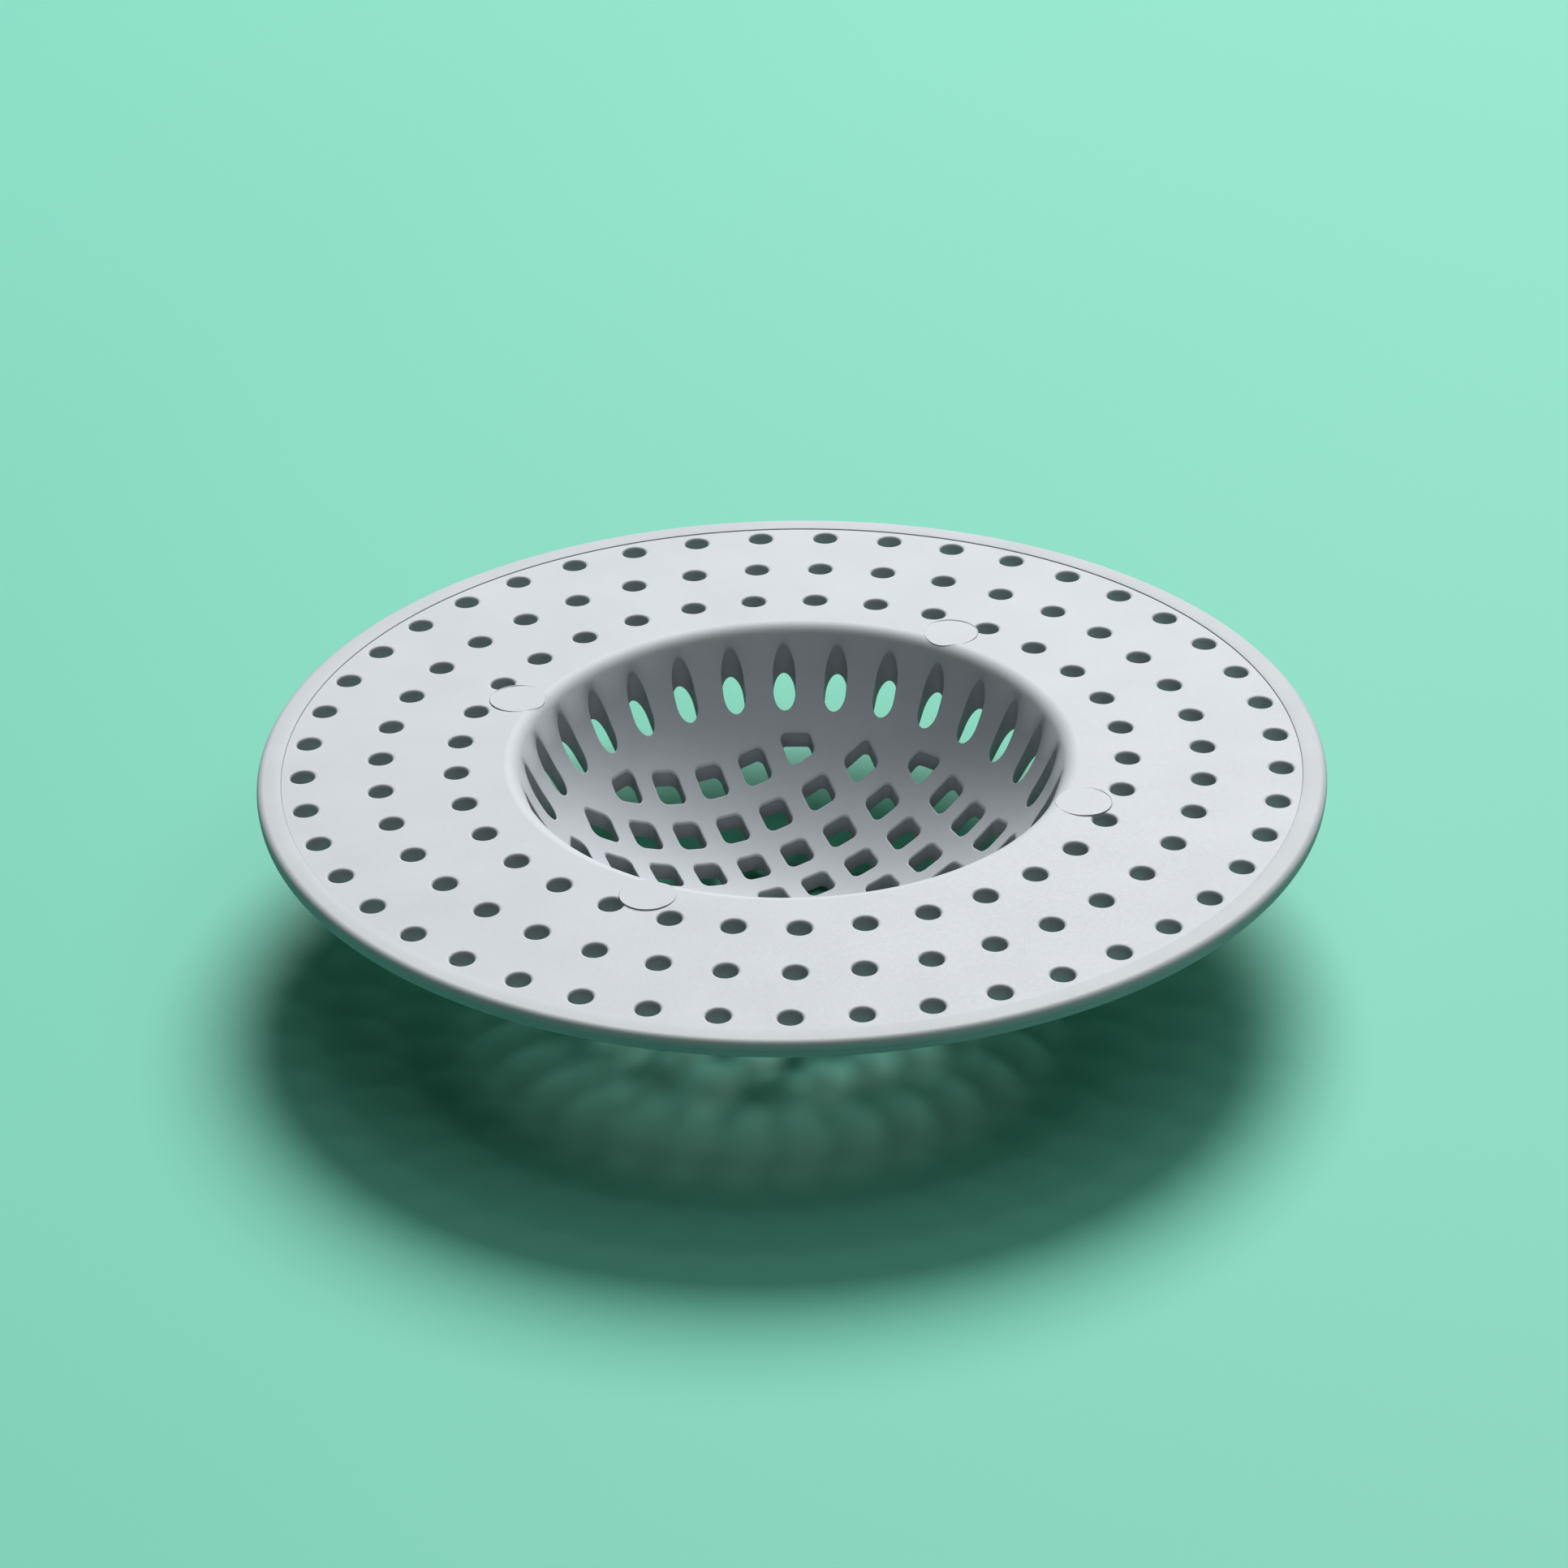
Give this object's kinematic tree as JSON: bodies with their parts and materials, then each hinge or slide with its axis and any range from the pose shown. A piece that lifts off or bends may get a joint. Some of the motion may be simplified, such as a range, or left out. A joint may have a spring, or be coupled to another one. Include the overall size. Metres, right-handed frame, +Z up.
{
  "type": "sink strainer",
  "caption": "Plastic sink strainer: a perforated sloping flange with a raised rim around a slotted, gridded bowl that hangs in the drain and catches scraps.",
  "frame": {"origin": "on the axis, at the flat foot under the bowl, where the strainer stands on a table", "axes": "+Z up along the axis, out of the bowl's mouth; +X through a hole of every ring; the grid's bars run along X and Y"},
  "size_m": [0.11, 0.11, 0.021],
  "materials": {
    "flange_plastic": "finely textured moulding, light cool grey",
    "rim_plastic": "satin moulding, light cool grey",
    "bowl_plastic": "satin moulding, light cool grey",
    "peg_plastic": "smooth moulding, light cool grey"
  },
  "bodies": {
    "root": {"flange_disc": "flange_plastic", "rim_ring": "rim_plastic", "strainer_bowl": "bowl_plastic", "collar_peg_1": "peg_plastic", "collar_peg_2": "peg_plastic", "collar_peg_3": "peg_plastic", "collar_peg_4": "peg_plastic"}
  },
  "joints": []
}
